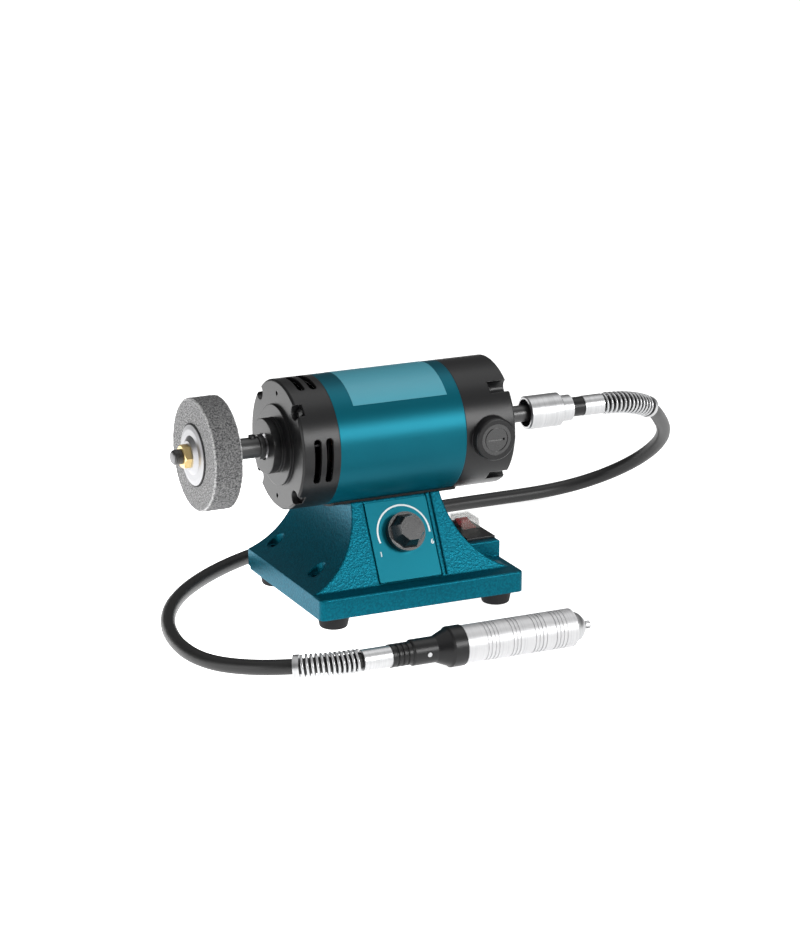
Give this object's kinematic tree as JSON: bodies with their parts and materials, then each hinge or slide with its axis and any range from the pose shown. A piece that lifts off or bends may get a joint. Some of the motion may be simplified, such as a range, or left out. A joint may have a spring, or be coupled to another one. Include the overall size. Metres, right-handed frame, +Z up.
{
  "type": "bench buffer",
  "caption": "Bench polisher: motor on a flared cast base with speed knob and rocker switch, a wheel on the left spindle and a flexible shaft with handpiece on the right.",
  "frame": {"origin": "centre of the base plate on the bench plane under the feet", "axes": "+X along the motor axis towards the flexible shaft, -Y towards the speed knob, +Z up"},
  "size_m": [0.4382, 0.3096, 0.1571],
  "materials": {
    "cast_paint": "hammered gloss paint",
    "shell_paint": "smooth gloss paint",
    "cap_plastic": "fine satin moulding",
    "gloss_black": "polished moulding",
    "black_steel": "blackened steel",
    "rubber": "matt",
    "wheel": "open gritty grain",
    "steel": "satin",
    "bright": "polished plating",
    "alloy": "satin anodised",
    "brass": "machined",
    "copper": "enamelled wire",
    "lamination": "stacked sheet",
    "carbon": "pressed graphite",
    "board": "lacquered laminate",
    "red": "polished moulding",
    "clear": "clear moulding",
    "paper": "matt card"
  },
  "bodies": {
    "stand": {"base_casting": "cast_paint", "motor_shell": "shell_paint", "front_panel": "shell_paint", "left_end_cap": "cap_plastic", "right_end_cap": "cap_plastic", "brush_holders": "cap_plastic", "switch_housing": "cap_plastic", "potentiometer": "cap_plastic", "handpiece_connector": "cap_plastic", "handpiece_tail": "cap_plastic", "sheath_collar": "cap_plastic", "brush_caps": "gloss_black", "cap_screws": "black_steel", "bottom_cover": "black_steel", "rubber_feet": "rubber", "cable_bush": "rubber", "saddle_pad": "rubber", "flex_hose": "rubber", "shaft_bearing_outer_rings": "steel", "hand_bearing_outer_rings": "steel", "retaining_ring": "steel", "motor_end_spring": "steel", "hand_end_spring": "steel", "brush_springs": "steel", "cover_screws": "steel", "motor_screws": "steel", "flex_core": "steel", "pot_nut": "steel", "coupling_sleeve": "bright", "hose_ferrules": "bright", "hose_end_rings": "bright", "detent_pin": "bright", "handpiece_body": "alloy", "switch_blades": "brass", "field_coils": "copper", "stator_core": "lamination", "carbon_brushes": "carbon", "speed_board": "board", "switch_cover": "clear"},
    "rotor": {"motor_shaft": "steel", "armature_core": "lamination", "armature_windings": "copper", "commutator": "copper", "cooling_fan": "cap_plastic", "shaft_bearing_inner_rings": "steel", "spindle_adapter": "black_steel", "grub_screw": "black_steel", "inner_flange": "steel", "wheel": "wheel", "paper_washer": "paper", "outer_flange": "steel", "spindle_nut": "brass", "drive_shank": "black_steel"},
    "chuck": {"handpiece_spindle": "steel", "handpiece_chuck": "steel", "hand_bearing_inner_rings": "steel"},
    "knob": {"speed_knob": "gloss_black", "pot_shaft": "steel"},
    "rocker": {"switch_rocker": "red"}
  },
  "joints": [
    {"name": "rotor_spin", "type": "hinge", "parent": "stand", "child": "rotor", "pos_m": [0, 0, 0.1137], "axis": [1, 0, 0], "continuous": true},
    {"name": "chuck_spin", "type": "hinge", "parent": "stand", "child": "chuck", "pos_m": [0, -0.148, 0.0132], "axis": [1, 0, 0], "continuous": true},
    {"name": "knob_turn", "type": "hinge", "parent": "stand", "child": "knob", "pos_m": [-0.0015, -0.03229, 0.05176], "axis": [0, 0.8762, -0.4819], "range_deg": [0, 270]},
    {"name": "rocker_tilt", "type": "hinge", "parent": "stand", "child": "rocker", "pos_m": [0.0645, 0.0085, 0.0345], "axis": [1, 0, 0], "range_deg": [-24, 0]}
  ],
  "couplings": [
    {"joint": "chuck_spin", "follows": "rotor_spin", "ratio": 1}
  ]
}
